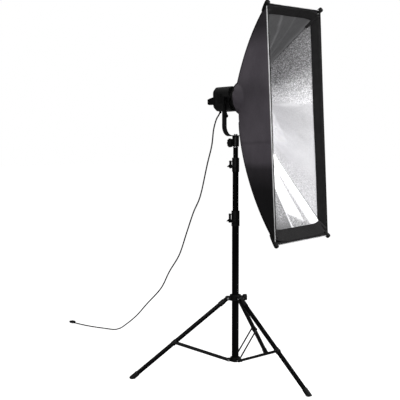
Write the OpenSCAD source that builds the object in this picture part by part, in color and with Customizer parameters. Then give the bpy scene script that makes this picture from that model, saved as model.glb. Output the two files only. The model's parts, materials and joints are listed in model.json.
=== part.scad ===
// Strip softbox on a yoke-mounted LED lamp head, carried by a three-section folding light stand.
// Millimetres, +Z up, the box opening faces -Y. The floor is z = 0.

/* [Stand] */
// Outer diameter of the lowest column tube
lower_d = 35; // [30:1:38]
// Outer diameter of the middle column tube
middle_d = 30; // [26:1:31]
// Outer diameter of the top column tube
upper_d = 25; // [22:1:26]
// Height of the leg pivots above the floor
hub_z = 392; // [360:1:420]
// Height of the brace pivots above the floor
spider_z = 79; // [70:1:95]
// Angle of a leg from the vertical
leg_splay = 51.2; // [40:0.1:60]
// Length of a leg's axis, from its pivot to the tip of the foot
leg_len = 628; // [560:1:700]
// Diameter of a leg tube
leg_d = 22; // [16:1:24]
// Distance down the leg of the brace rivet
brace_at = 345; // [300:1:380]
// Heading of the first leg
leg_heading = 17.7; // [0:0.1:90]
// Heading of the flip levers and of the side of the column they sit on
lever_heading = 129; // [90:1:180]

/* [Lamp] */
// Height of the tilt axis above the floor
axis_z = 1390; // [1200:1:1500]
// Upward tilt of the lamp as it stands
tilt_up = 1.8; // [0:0.1:5]
// Width of the lamp housing
lamp_w = 140; // [120:1:150]
// Height of the lamp housing
lamp_h = 120; // [100:1:130]
// Distance between the centres of the yoke arms
yoke_span = 186; // [170:1:190]

/* [Softbox] */
// Width of the open front
box_w = 450; // [400:10:500]
// Height of the front edge above the lamp axis
box_up = 408; // [380:1:450]
// Depth of the front edge below the lamp axis
box_down = 692; // [650:1:720]
// Distance from the column axis to the front plane
box_front = 365; // [330:1:380]
// Roll of the box about the lamp axis as it stands
box_roll = 1.56; // [0:0.01:5]
// Thickness of the outer fabric wall
cloth_t = 3; // [2:0.5:4]
// Depth of the hook-and-loop band at the top and bottom edges
lip_long = 32; // [25:1:80]
// Depth of the hook-and-loop band at the side edges
lip_short = 40; // [30:1:60]

/* [Hidden] */
$fn = 64;

// Where the column stands, so that the origin is the middle of the whole footprint.
col_x = -55.7;
col_y = 79.5;

leg_count = 3;
hub_r = 40;            // radius of the leg pivots
spider_r = 38;         // radius of the brace pivots
pin_r = 3;
pin_play = 0.05;       // radial clearance of everything that turns on a pin
wall = 1.5;            // wall of the column tubes
leg_r = leg_d / 2;
tongue_half = 10;      // half width of a leg's end and of the spider's lugs
strip_in = 13.6;       // inner faces of a brace's two strips
strip_t = 2;
strip_w = 12;
tube_end = leg_len - 28;

// The brace joins the spider pivot to the rivet on the leg.
rivet_x = hub_r + brace_at * sin(leg_splay);
rivet_z = hub_z - brace_at * cos(leg_splay);
brace_len = norm([rivet_x - spider_r, rivet_z - spider_z]);
brace_angle = atan2(rivet_x - spider_r, rivet_z - spider_z);

column_bottom = 72;
lower_top = 800;       // top ends of the column tubes
middle_top = 1060;
upper_top = 1148;
middle_bottom = 360;   // bottom ends of the two sliding tubes
upper_bottom = 560;
glide_len = 30;

// Each collar: bottom, top, outer radius.
lower_grip = [755, 832, 20.5];
upper_grip = [1027, 1097, 18];
lever_pin_r = 28;      // distance of a flip lever's pin from the column axis, lower collar

yoke_t = 5;
yoke_w = 25;
yoke_bottom = 1204;    // underside of the yoke strip
yoke_bend = 50;        // outer radius of its bends
spigot_r = 7.95;
knob_heading = 157;    // the receiver's clamp knob
knob_z = 1171;
socket_r = 8;

lamp_back = 76;        // joint between the housing and its rear cover
lamp_rear = 98;
lamp_front = -8;
collar_front = -40;
collar_r = 60;
lamp_corner = 30;
loop_x = -54;          // near side of the hanging loop, and its width
loop_w = 16;
shell = 3;

ring_r = 72;           // the seams start from this radius
ring_out = 67;         // rim of the speedring
ring_back = 40;        // speedring, measured forward from the column axis
ring_front = 52;
cloth_back = 36;
cloth_ring_r = 80;     // the cloth clears the speedring by this radius
layer_gap = 1.3;       // space between the outer wall and the layers inside it
lining_start = 0.04;   // the lining begins in front of the speedring, at this share of the depth
lining_bow = 0.3;      // how much of the rods' bow the lining follows
stations = 12;         // sections along a fabric wall
rows_long = 12;        // divisions across a side wall
rows_short = 6;        // divisions across the top and bottom walls

rod_r = 3;
rod_inset = 9;
cord_r = 3.6;
cord_sides = 8;

// Route of the mains lead, from the strain relief to the plug, about the column axis.
cord_route = [
    [-16, 88, 1320], [-11, 99, 1309], [-5, 113, 1298], [3, 130, 1276], [11, 149, 1234], [19, 167, 1155],
    [36, 210, 1057], [61, 275, 894], [85, 342, 801], [110, 411, 683], [135, 482, 561], [173, 586, 456],
    [205, 677, 349], [262, 835, 236], [310, 968, 140], [372, 1130, 50], [402, 1205, 20], [414, 1252, 9],
    [416, 1290, 7], [412, 1335, 7], [406, 1390, 7], [404, 1450, 7], [408, 1520, 7], [420, 1600, 7]
];

// ---------- helpers ----------
module at_column() translate([col_x, col_y, 0]) children();

module at_head() at_column() translate([0, 0, axis_z]) rotate([-tilt_up, 0, 0]) children();

module at_box() at_head() rotate([0, -box_roll, 0]) children();

module leg_plane(i) at_column() rotate([0, 0, leg_heading + 120 * i]) children();

// A leg's own frame: +Z runs down the leg from its pivot, +X is its underside.
module along_leg() translate([hub_r, 0, hub_z]) rotate([0, 180 - leg_splay, 0]) children();

// A brace's own frame: +Z runs out along the brace from its lower pivot.
module along_brace() translate([spider_r, 0, spider_z]) rotate([0, brace_angle, 0]) children();

module tube(r, inner, bottom, top) {
    translate([0, 0, bottom]) difference() {
        cylinder(r = r, h = top - bottom);
        translate([0, 0, -1]) cylinder(r = inner, h = top - bottom + 2);
    }
}

module across(r, half) rotate([90, 0, 0]) cylinder(r = r, h = 2 * half, center = true);

// Rounded rectangle with true arcs.
module round_rect(w, h, r) {
    square([w - 2 * r, h], center = true);
    square([w, h - 2 * r], center = true);
    for (x = [-1, 1], y = [-1, 1]) translate([x * (w / 2 - r), y * (h / 2 - r)]) circle(r = r);
}

// A slab of rounded-rectangle section between two depths behind the tilt axis.
module lamp_slab(w, h, r, front, back) {
    translate([0, back, 0]) rotate([90, 0, 0]) linear_extrude(back - front) round_rect(w, h, r);
}

// A cylinder or ring about the lamp axis, between two depths behind the tilt axis.
module lamp_disc(r, front, back) translate([0, back, 0]) rotate([90, 0, 0]) cylinder(r = r, h = back - front);

module lamp_ring(r, inner, front, back) difference() {
    lamp_disc(r, front, back);
    lamp_disc(inner, front - 1, back + 1);
}

// A hand knob along +X with finger scallops.
module hand_knob(r, h, lobes) difference() {
    rotate([0, 90, 0]) cylinder(r = r, h = h);
    for (k = [0 : lobes - 1]) rotate([360 / lobes * k, 0, 0]) translate([-1, r + 2, 0])
        rotate([0, 90, 0]) cylinder(r = 5, h = h + 2);
}

// ---------- stand: fixed bottom section ----------
module lower_tube() color("#141416") at_column() tube(lower_d / 2, lower_d / 2 - wall, column_bottom, lower_top);

module column_end_plug() color("#0c0c0d") at_column() {
    translate([0, 0, column_bottom - 5]) cylinder(r = lower_d / 2, h = 4.8);
    translate([0, 0, column_bottom - 0.2]) cylinder(r = lower_d / 2 - wall - 0.1, h = 20);
}

module lower_spider() color("#101012") difference() {
    at_column() tube(25, lower_d / 2 + 0.05, spider_z - 9, spider_z + 13);
    for (i = [0 : leg_count - 1]) leg_plane(i) translate([spider_r, 0, spider_z]) across(pin_r + 0.02, 30);
}

module spider_lugs() difference() {
    for (i = [0 : leg_count - 1]) leg_plane(i) {
        translate([spider_r, 0, spider_z]) across(8, tongue_half);
        translate([22, -tongue_half, spider_z - 8]) cube([spider_r - 22, 2 * tongue_half, 16]);
    }
    at_column() translate([0, 0, 60]) cylinder(r = lower_d / 2 + 0.05, h = 40);
    for (i = [0 : leg_count - 1]) leg_plane(i) translate([spider_r, 0, spider_z]) across(pin_r + 0.02, 30);
}

module spider_with_lugs() {
    lower_spider();
    color("#101012") spider_lugs();
}

module pivot_pin(r, z, half) translate([r, 0, z]) {
    across(pin_r, half);
    for (s = [-1, 1]) translate([0, s * half, 0]) across(pin_r + 2, 1.2);
}

module spider_pins() color("#8a8a8c") for (i = [0 : leg_count - 1]) leg_plane(i)
    pivot_pin(spider_r, spider_z, strip_in + strip_t + 1.6);

// Clamp collar: bore for its own tube below, sliding bore above, and ears for the lever's pin.
module collar(grip, tube_r, slide_r, step, ear_r) difference() {
    union() {
        translate([0, 0, grip[0]]) cylinder(r = grip[2], h = grip[1] - grip[0]);
        rotate([0, 0, lever_heading]) for (z = [grip[0] + 18, grip[1] - 20]) {
            translate([8, -7, z]) cube([ear_r - 8, 14, 5]);
            translate([ear_r, 0, z]) cylinder(r = 7, h = 5);
        }
    }
    translate([0, 0, grip[0] - 1]) cylinder(r = tube_r, h = step - grip[0] + 1);
    translate([0, 0, step - 1]) cylinder(r = slide_r, h = grip[1] - step + 2);
    rotate([0, 0, lever_heading]) translate([ear_r, 0, grip[0]]) cylinder(r = 2.02, h = 80);
}

module lever_pin(grip, ear_r) rotate([0, 0, lever_heading])
    translate([ear_r, 0, grip[0] + 16]) cylinder(r = 2, h = grip[1] - grip[0] - 29);

// Flip lever: a cam barrel on the pin, a low arm that hugs the collar and a thumb wing that tapers outward.
module flip_lever(grip, ear_r) {
    low = grip[0] + 23.4;
    high = grip[1] - 20.4;
    arm_h = 12;
    difference() {
        rotate([0, 0, lever_heading]) {
            translate([ear_r, 0, low]) cylinder(r = 6, h = high - low);
            translate([0, 0, low]) rotate_extrude(angle = 95)
                translate([grip[2] + 2, 0]) square([ear_r - grip[2] + 1, arm_h]);
            translate([0, 2.5, 0]) rotate([90, 0, 0]) linear_extrude(5)
                polygon([[ear_r, low], [ear_r + 17, low], [ear_r + 17, low + 2], [ear_r + 3, low + arm_h + 4]]);
        }
        rotate([0, 0, lever_heading]) translate([ear_r, 0, low - 1])
            cylinder(r = 2 + pin_play, h = high - low + 2);
    }
}

module lower_collar() color("#161618") at_column() {
    collar(lower_grip, lower_d / 2 + 0.05, middle_d / 2 + 0.2, lower_top + 0.2, lever_pin_r);
    lever_pin(lower_grip, lever_pin_r);
}

module lower_lock_lever() color("#0d0d0e") at_column() flip_lever(lower_grip, lever_pin_r);

// ---------- stand: middle and top sections ----------
module glide(tube_r, slide_r, bottom) {
    tube(slide_r, tube_r - wall - 3, bottom - 14, bottom - 0.1);
    tube(slide_r, tube_r + 0.05, bottom - 0.1, bottom + glide_len);
}

module middle_tube() color("#131315") at_column()
    tube(middle_d / 2, middle_d / 2 - wall, middle_bottom, middle_top);

module middle_glide() color("#2a2a2c") at_column() glide(middle_d / 2, lower_d / 2 - wall - 0.1, middle_bottom);

module upper_collar() color("#161618") at_column() {
    collar(upper_grip, middle_d / 2 + 0.05, upper_d / 2 + 0.2, middle_top + 0.2, lever_pin_r - 2);
    lever_pin(upper_grip, lever_pin_r - 2);
}

module upper_lock_lever() color("#0d0d0e") at_column() flip_lever(upper_grip, lever_pin_r - 2);

module upper_tube() color("#131315") at_column() tube(upper_d / 2, upper_d / 2 - wall, upper_bottom, upper_top);

module upper_glide() color("#2a2a2c") at_column() glide(upper_d / 2, middle_d / 2 - wall - 0.1, upper_bottom);

module spigot() color("#9a9a9c") at_column() difference() {
    union() {
        translate([0, 0, upper_top - 40]) cylinder(r = upper_d / 2 - wall - 0.1, h = 40);
        translate([0, 0, upper_top + 0.1]) cylinder(r = upper_d / 2 + 1, h = 4);
        translate([0, 0, upper_top]) cylinder(r = spigot_r, h = 48);
    }
    translate([0, 0, upper_top + 16]) tube(spigot_r + 2, spigot_r - 1.5, 0, 12);
}

// ---------- stand: hub, legs and braces ----------
module leg_hub() color("#101012") difference() {
    union() {
        at_column() translate([0, 0, 380]) cylinder(r = 28, h = 30);
        for (i = [0 : leg_count - 1], s = [-1, 1]) leg_plane(i) {
            translate([hub_r, s * (tongue_half + 2.7), hub_z]) across(10, 2.2);
            translate([14, s * (tongue_half + 2.7) - 2.2, hub_z - 10]) cube([hub_r - 14, 4.4, 20]);
        }
        at_column() rotate([0, 0, leg_heading - 60]) translate([20, 0, 395])
            rotate([0, 90, 0]) cylinder(r = 10, h = 18);
    }
    at_column() translate([0, 0, 370]) cylinder(r = lower_d / 2 + 0.4, h = 50);
    for (i = [0 : leg_count - 1]) leg_plane(i) translate([hub_r, 0, hub_z]) across(pin_r + 0.02, 30);
    at_column() rotate([0, 0, leg_heading - 60]) translate([10, 0, 395])
        rotate([0, 90, 0]) cylinder(r = 4 + pin_play, h = 40);
}

module hub_pins() color("#8a8a8c") for (i = [0 : leg_count - 1]) leg_plane(i)
    pivot_pin(hub_r, hub_z, tongue_half + 6.2);

module hub_lock_knob() color("#0d0d0e") at_column() rotate([0, 0, leg_heading - 60]) translate([0, 0, 395]) {
    translate([lower_d / 2 + 0.8, 0, 0]) rotate([0, 90, 0]) cylinder(r = 4, h = 24);
    translate([40, 0, 0]) hand_knob(16, 18, 6);
}

module leg_tube(i) color("#121214") leg_plane(i) along_leg() tube(leg_r, leg_r - 1.2, 22, tube_end);

// The end plug that turns on the hub's pin, and the clip that the brace is riveted to.
module leg_fittings(i) color("#0e0e0f") leg_plane(i) along_leg() {
    difference() {
        union() {
            across(9, tongue_half);
            translate([-9, -tongue_half, 0]) cube([18, 2 * tongue_half, 21.9]);
            translate([0, 0, 21.9]) cylinder(r = leg_r - 1.3, h = 26);
        }
        across(pin_r + pin_play, 30);
    }
    tube(leg_r + 2, leg_r + 0.05, 22, 52);
    tube(leg_r + 1.8, leg_r + 0.05, brace_at - 12, brace_at + 12);
}

module foot_cap(i) color("#0b0b0c") leg_plane(i) difference() {
    along_leg() difference() {
        union() {
            translate([0, 0, leg_len - 46]) cylinder(r = leg_r + 2, h = 42);
            translate([0, 0, leg_len - 4]) cylinder(r = leg_r, h = 4);
        }
        translate([0, 0, leg_len - 50]) cylinder(r = leg_r + 0.05, h = 50 + tube_end - leg_len);
    }
    translate([300, -50, -100]) cube([400, 100, 100]);
}

module brace(i) color("#141416") leg_plane(i) along_brace() for (s = [-1, 1]) {
    difference() {
        translate([0, s * (strip_in + strip_t / 2), 0]) {
            for (z = [0, brace_len]) translate([0, 0, z]) across(strip_w / 2, strip_t / 2);
            translate([-strip_w / 2, -strip_t / 2, 0]) cube([strip_w, strip_t, brace_len]);
        }
        across(pin_r + pin_play, 30);
    }
    translate([0, s * (strip_in + strip_t + 0.8), brace_len]) across(4, 0.8);
}

// ---------- yoke ----------
module receiver_socket() color("#0f0f10") at_column() difference() {
    union() {
        translate([0, 0, upper_top + 5]) cylinder(r = 17, h = yoke_bottom - upper_top - 5);
        rotate([0, 0, knob_heading]) translate([0, 0, knob_z]) rotate([0, 90, 0]) cylinder(r = 10, h = 24);
    }
    translate([0, 0, upper_top]) cylinder(r = socket_r, h = 49);
    rotate([0, 0, knob_heading]) translate([0, 0, knob_z]) rotate([0, 90, 0]) cylinder(r = 4 + pin_play, h = 40);
    translate([0, 0, yoke_bottom - 10]) cylinder(r = 4.02, h = 20);
}

module receiver_knob() color("#0c0c0d") at_column() rotate([0, 0, knob_heading]) translate([0, 0, knob_z]) {
    translate([spigot_r + 0.5, 0, 0]) rotate([0, 90, 0]) cylinder(r = 4, h = 22);
    translate([26, 0, 0]) hand_knob(22, 12, 9);
}

module yoke_bracket() color("#121213") at_column() difference() {
    union() {
        flat = yoke_span + yoke_t - 2 * yoke_bend;
        translate([-flat / 2, -yoke_w / 2, yoke_bottom]) cube([flat, yoke_w, yoke_t]);
        for (s = [0, 1]) mirror([s, 0, 0]) {
            translate([flat / 2, yoke_w / 2, yoke_bottom + yoke_bend]) rotate([90, 0, 0])
                rotate([0, 0, -90]) linear_extrude(yoke_w) intersection() {
                    difference() {
                        circle(r = yoke_bend);
                        circle(r = yoke_bend - yoke_t);
                    }
                    square(yoke_bend + 1);
                }
            translate([yoke_span / 2 - yoke_t / 2, -yoke_w / 2, yoke_bottom + yoke_bend])
                cube([yoke_t, yoke_w, axis_z - yoke_bottom - yoke_bend]);
            translate([yoke_span / 2 - yoke_t / 2, 0, axis_z]) rotate([0, 90, 0])
                cylinder(r = yoke_w / 2, h = yoke_t);
        }
    }
    translate([-120, 0, axis_z]) rotate([0, 90, 0]) cylinder(r = 5 + pin_play, h = 240);
    translate([0, 0, yoke_bottom - 5]) cylinder(r = 4.02, h = 20);
}

module yoke_bolt() color("#2c2c2e") at_column() {
    translate([0, 0, yoke_bottom - 6]) cylinder(r = 4, h = 12);
    translate([0, 0, yoke_bottom + yoke_t + 0.1]) cylinder(r = 9, h = 6);
}

// ---------- lamp head ----------
module lamp_housing() color("#1a1a1c") at_head() difference() {
    union() {
        lamp_slab(lamp_w, lamp_h, lamp_corner, lamp_front, lamp_back);
        for (s = [-1, 1]) translate([s * (lamp_w / 2 - 2), 0, 0]) rotate([0, 90 * s, 0]) cylinder(r = 17, h = 10);
    }
    lamp_slab(lamp_w - 2 * shell, lamp_h - 2 * shell, lamp_corner - shell, lamp_front + shell, lamp_back + 1);
    lamp_disc(46, lamp_front - 1, lamp_front + 10);
    rotate([0, 90, 0]) cylinder(r = 5, h = 300, center = true);
    for (s = [-1, 1], k = [0 : 4]) translate([s * lamp_w / 2, 30 + 7 * k, 0]) cube([12, 3, 46], center = true);
}

module rear_cover() color("#1a1a1c") at_head() difference() {
    hull() {
        lamp_slab(lamp_w, lamp_h, lamp_corner, lamp_back + 0.1, lamp_back + 6, $fn = 32);
        lamp_slab(lamp_w - 24, lamp_h - 24, lamp_corner - 10, lamp_rear - 1, lamp_rear, $fn = 32);
    }
    hull() {
        lamp_slab(lamp_w - 6, lamp_h - 6, lamp_corner - 3, lamp_back - 1, lamp_back + 5, $fn = 32);
        lamp_slab(lamp_w - 30, lamp_h - 30, lamp_corner - 13, lamp_rear - 4, lamp_rear - 3, $fn = 32);
    }
    for (k = [-3 : 3]) translate([0, lamp_rear, -34 + 4 * k]) cube([60, 12, 2], center = true);
    translate([-24, lamp_rear, 24]) cube([28, 12, 16], center = true);
    translate([30, lamp_rear, -2]) rotate([90, 0, 0]) cylinder(r = 4.1, h = 20, center = true);
    translate([30, lamp_rear, 28]) cube([11, 12, 16], center = true);
    translate([-24, lamp_rear, 2]) cube([8.6, 12, 8.6], center = true);
}

module front_collar() color("#19191b") at_head() difference() {
    lamp_ring(collar_r, 46, collar_front, lamp_front - 0.1);
    lamp_disc(52, collar_front - 1, collar_front + 12);
    translate([0, collar_front + 11, collar_r]) cube([15, 15, 10], center = true);
}

module led_module() color("#d8c34a") at_head() {
    lamp_disc(40, lamp_front + 4, lamp_front + 7);
    lamp_disc(15, lamp_front + 1, lamp_front + 4);
}

module heat_sink() color("#8f9296") at_head() {
    translate([-42, 0, -42]) cube([84, 6, 84]);
    for (k = [0 : 12]) translate([-42 + 6.8 * k, 6, -42]) cube([2.4, 26, 84]);
}

module fan_frame() color("#101011") at_head() difference() {
    translate([-42, 34, -42]) cube([84, 20, 84]);
    lamp_disc(39, 33, 52);
    lamp_ring(39, 20, 50, 60);
    for (x = [-36, 36], z = [-36, 36]) translate([x, 60, z]) rotate([90, 0, 0]) cylinder(r = 2, h = 40);
}

module fan_rotor() color("#1d1d1f") at_head() {
    lamp_disc(17, 36, 51.5);
    for (k = [0 : 6]) rotate([0, 360 / 7 * k, 0]) translate([16, 43, 0]) rotate([35, 0, 0])
        translate([0, -1, -8]) cube([19, 2, 16]);
}

module pivot_bolt() color("#2a2a2c") at_head() {
    translate([lamp_w / 2 - 6, 0, 0]) rotate([0, 90, 0]) cylinder(r = 4.98, h = yoke_span / 2 + 8 - lamp_w / 2);
    translate([yoke_span / 2 + 2.8, 0, 0]) rotate([0, 90, 0]) cylinder(r = 13, h = 9);
}

// Ratchet lever that locks the tilt: a threaded stub, a round hub and an arm that hangs down and forward.
module tilt_lever() color("#101011") at_head() translate([-yoke_span / 2 - 2.8, 0, 0]) {
    translate([-5, 0, 0]) rotate([0, 90, 0]) cylinder(r = 4.98, h = 27);
    rotate([0, -90, 0]) cylinder(r = 13, h = 16);
    rotate([-12, 0, 0]) {
        translate([-15, -6, -88]) cube([8, 12, 84]);
        translate([-17, 0, -90]) rotate([0, 90, 0]) cylinder(r = 9, h = 11);
    }
}

module release_latch() color("#303032") at_head() translate([0, collar_front + 8.5, collar_r - 1.6]) {
    translate([-7, -3, -3]) cube([14, 8, 3]);
    translate([-6, -3, 0]) cube([12, 7, 5]);
}

module control_panel() color("#0a0c10") at_head() translate([-38, lamp_rear - 2.6, 16.3])
    cube([27.6, 2, 15.4]);

module brightness_dial() color("#151517") at_head() translate([30, lamp_rear + 9, -2]) rotate([90, 0, 0]) {
    cylinder(r = 10, h = 8.5);
    translate([0, 0, 8]) cylinder(r = 4, h = 13);
}

module mode_button() color("#3a3a3d") at_head() translate([-28, lamp_rear - 3, -2]) cube([8, 5, 8]);

module power_rocker() color("#1c1c1e") at_head() translate([30, lamp_rear - 2, 28]) rotate([90, 0, 90])
    difference() {
        translate([0, 0, -5]) cylinder(r = 7.6, h = 10);
        translate([5, 0, 0]) cube([7, 20, 12], center = true);
    }

// Hanging loop at the very back, on the side of the tilt lever, with its hole across the lamp.
module rear_handle() color("#121213") at_head() difference() {
    translate([loop_x, 0, 0]) rotate([90, 0, 90]) linear_extrude(loop_w) polygon([
        [lamp_rear + 0.1, -26], [lamp_rear + 30, -26], [lamp_rear + 39, -22],
        [lamp_rear + 39, 1], [lamp_rear + 30, 5], [lamp_rear + 0.1, 12]]);
    translate([loop_x - 1, lamp_rear + 28, -10]) rotate([0, 90, 0]) cylinder(r = 6, h = loop_w + 2);
}

// ---------- mains lead ----------
// Unit direction of the route at point k.
function heading(pts, k) = let (a = pts[max(k - 1, 0)], b = pts[min(k + 1, len(pts) - 1)]) (b - a) / norm(b - a);

// Points between two route points on a smooth curve through all of them.
function smooth(pts, k, t) = let (
    n = len(pts), p0 = pts[max(k - 1, 0)], p1 = pts[k], p2 = pts[k + 1], p3 = pts[min(k + 2, n - 1)])
    ((2 * p1) + (p2 - p0) * t + (2 * p0 - 5 * p1 + 4 * p2 - p3) * t * t
        + (3 * p1 - p0 - 3 * p2 + p3) * t * t * t) / 2;

function fine(pts, per) = concat([for (k = [0 : len(pts) - 2], j = [0 : per - 1]) smooth(pts, k, j / per)],
    [pts[len(pts) - 1]]);

// A round tube swept along points, as one closed solid.
module sweep(pts, r, sides) {
    n = len(pts);
    points = [for (k = [0 : n - 1]) let (
        d = heading(pts, k),
        side = cross(d, [1, 0, 0]) / norm(cross(d, [1, 0, 0])),
        up = cross(side, d))
        for (j = [0 : sides - 1]) pts[k] + r * (cos(360 / sides * j) * side + sin(360 / sides * j) * up)];
    walls = [for (k = [0 : n - 2], j = [0 : sides - 1]) let (m = (j + 1) % sides)
        [k * sides + j, k * sides + m, (k + 1) * sides + m, (k + 1) * sides + j]];
    caps = [[for (j = [sides - 1 : -1 : 0]) j], [for (j = [0 : sides - 1]) (n - 1) * sides + j]];
    polyhedron(points = points, faces = concat(walls, caps), convexity = 8);
}

module mains_cord() color("#0d0d0d") at_column() sweep(fine(cord_route, 3), cord_r, cord_sides);

// Tapered relief with a flange, from the bevel under the rear cover along the lead's first direction.
module strain_relief() color("#0d0d0d") at_column() translate(cord_route[0]) rotate([53.5, 0, -19.6]) {
    translate([0, 0, 0.8]) cylinder(r1 = 4.2, r2 = 5.4, h = 5.6);
    translate([0, 0, 6.4]) cylinder(r = 6.5, h = 2);
}

module mains_plug() color("#0e0e0e") at_column() translate(cord_route[len(cord_route) - 1])
    rotate([0, 0, atan2(80, 12)]) {
        translate([0.2, 0, 0]) rotate([0, 90, 0]) cylinder(r = 4.2, h = 14);
        translate([14, -12, -3.2]) cube([32, 24, 13]);
        for (s = [-1, 1]) translate([46, s * 6, 3]) rotate([0, 90, 0]) cylinder(r = 2.2, h = 17);
    }

// ---------- softbox ----------
top_reach = norm([box_w / 2, box_up]);
bottom_reach = norm([box_w / 2, box_down]);

// How far out a corner seam is, as a share q of the depth runs from the ring (0) to the front (1).
// The rods bow the outer wall outward (bow = 1): the short ones evenly, the long ones mostly near the ring.
// The lining is pulled nearly straight between the ring and the front.
function top_seam(q, bow) = ring_r + (top_reach - ring_r) * q + 112 * bow * q * (1 - q);
function bottom_seam(q, bow) = ring_r + (bottom_reach - ring_r) * q + 280 * bow * sqrt(q) * (1 - q);

// Corner seams in the cross-section at q: corner 0 and 1 are the top ones, 2 and 3 the bottom ones.
function seam(q, corner, bow = 1) = let (side = (corner == 0 || corner == 3) ? -1 : 1) corner < 2
    ? top_seam(q, bow) / top_reach * [side * box_w / 2, box_up]
    : bottom_seam(q, bow) / bottom_reach * [side * box_w / 2, -box_down];

// A wall keeps at least this radius, so that it clears the speedring; the lining lies in front of the ring.
function seam_clear(q, bow) = cloth_ring_r - 12 * (1 - bow) + 60 * q;

// Point of a fabric wall between two corners, d inside its outer face.
function skin(q, c1, c2, s, d, bow = 1) = let (
    p = seam(q, c1, bow) * (1 - s) + seam(q, c2, bow) * s,
    flat_r = norm(p),
    r = max(flat_r, seam_clear(q, bow)) - d)
    [p[0] / flat_r * r, -(cloth_back + (box_front - cloth_back) * q + d * (1 - q)), p[1] / flat_r * r];

// Stations are closer together near the ring, where the wall curves most.
function station(k, from, to) = from + (to - from) * pow(k / stations, 1.6);

// Extra depth that carries the inner layers round the rods at the seams.
function rod_room(s) = 17 * pow(abs(2 * s - 1), 6);

// One fabric layer: a closed sheet from depth a to depth b behind the outer face, or behind the straighter
// inner face that leaves room for the rods.
module layer(c1, c2, rows, a, b, from, to, room) {
    n = stations;
    m = rows;
    seam_gap = room ? 0.004 : 0;
    points = [for (f = [0, 1], k = [0 : n], j = [0 : m]) let (s = seam_gap + (1 - 2 * seam_gap) * j / m)
        skin(station(k, from, to), c1, c2, s, (f == 0 ? a : b) + (room ? rod_room(s) : 0), room ? lining_bow : 1)];
    half = (n + 1) * (m + 1);
    outer = [for (k = [0 : n - 1], j = [0 : m - 1]) let (i = k * (m + 1) + j)
        each [[i, i + m + 1, i + m + 2], [i, i + m + 2, i + 1]]];
    inner = [for (t = outer) [half + t[0], half + t[2], half + t[1]]];
    rims = concat(
        [for (j = [0 : m - 1]) each [[j, j + 1, half + j + 1], [j, half + j + 1, half + j]]],
        [for (j = [0 : m - 1]) let (i = n * (m + 1) + j)
            each [[i, half + i + 1, i + 1], [i, half + i, half + i + 1]]],
        [for (k = [0 : n - 1]) let (i = k * (m + 1), u = i + m + 1)
            each [[i, half + i, half + u], [i, half + u, u]]],
        [for (k = [0 : n - 1]) let (i = k * (m + 1) + m, u = i + m + 1)
            each [[i, half + u, half + i], [i, u, half + u]]]);
    polyhedron(points = points, faces = concat(outer, inner, rims), convexity = 6);
}

function lip_start(depth) = 1 - depth / (box_front - cloth_back);

module ring_adapter() color("#3a3b3d") at_head() {
    lamp_ring(49.6, 42, -ring_front, collar_front + 8);
    for (k = [0 : 2]) rotate([0, 120 * k + 30, 0]) translate([47, collar_front + 2, -6]) cube([4.6, 5, 12]);
}

module speedring() color("#55565a") at_box() difference() {
    union() {
        lamp_ring(ring_out, 50, -ring_front, -ring_back - 0.3);
        for (c = [0 : 3]) let (p = seam(0, c), a = atan2(p[1], p[0]))
            rotate([0, -a, 0]) translate([ring_out - 15, -ring_back - 7, 0]) rotate([0, 90, 0]) cylinder(r = 5.5, h = 15);
    }
    for (c = [0 : 3]) let (p = seam(0, c), a = atan2(p[1], p[0]))
        rotate([0, -a, 0]) translate([ring_out - 11, -ring_back - 7, 0]) rotate([0, 90, 0]) cylinder(r = rod_r + 0.1, h = 20);
}

// A rod leaves its socket straight out along the ring's radius, then follows its seam.
function rod_points(c) = concat(
    [let (p = seam(0, c) / ring_r) [p[0] * (ring_out - 10), -ring_back - 7, p[1] * (ring_out - 10)],
        let (p = seam(0, c) / ring_r) [p[0] * 74, -ring_back - 7.5, p[1] * 74]],
    [for (k = [3 : 12]) skin(pow(k / 12, 1.6) * 0.985, c, c, 0, cloth_t + rod_inset)]);

module rods() color("#b9bcc0") at_box() for (c = [0 : 3]) sweep(rod_points(c), rod_r, 8);

module top_panel() color("#1c1b1f") at_box() layer(0, 1, rows_short, 0, cloth_t, 0, 1, false);
module far_panel() color("#1c1b1f") at_box() layer(1, 2, rows_long, 0, cloth_t, 0, 1, false);
module bottom_panel() color("#1c1b1f") at_box() layer(2, 3, rows_short, 0, cloth_t, 0, 1, false);
module near_panel() color("#403c42") at_box() layer(3, 0, rows_long, 0, cloth_t, 0, 1, false);

module lining_wall(c1, c2, rows, lip) {
    outside = cloth_t + layer_gap;
    layer(c1, c2, rows, outside, outside + 1, lining_start, lip_start(lip), true);
}

module lip_wall(c1, c2, rows, lip) {
    outside = cloth_t + layer_gap;
    layer(c1, c2, rows, outside, outside + 1.4, lip_start(lip) + 0.004, 1, true);
}

module silver_lining() color("#b4b6ba") at_box() {
    lining_wall(0, 1, rows_short, lip_long);
    lining_wall(1, 2, rows_long, lip_short);
    lining_wall(2, 3, rows_short, lip_long);
    lining_wall(3, 0, rows_long, lip_short);
}

module lip_bands() color("#0c0c0d") at_box() {
    lip_wall(0, 1, rows_short, lip_long);
    lip_wall(1, 2, rows_long, lip_short);
    lip_wall(2, 3, rows_short, lip_long);
    lip_wall(3, 0, rows_long, lip_short);
}

// Reinforced pockets over the rod ends: each hugs its corner from outside and stands past it.
module corner_pockets() color("#0e0e0f") at_box() for (c = [0 : 3]) hull() {
    translate(skin(0.88, c, c, 0, -9)) sphere(r = 3.5, $fn = 16);
    translate(skin(1, c, c, 0, -11) + [0, -2, 0]) sphere(r = 6, $fn = 16);
}

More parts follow.
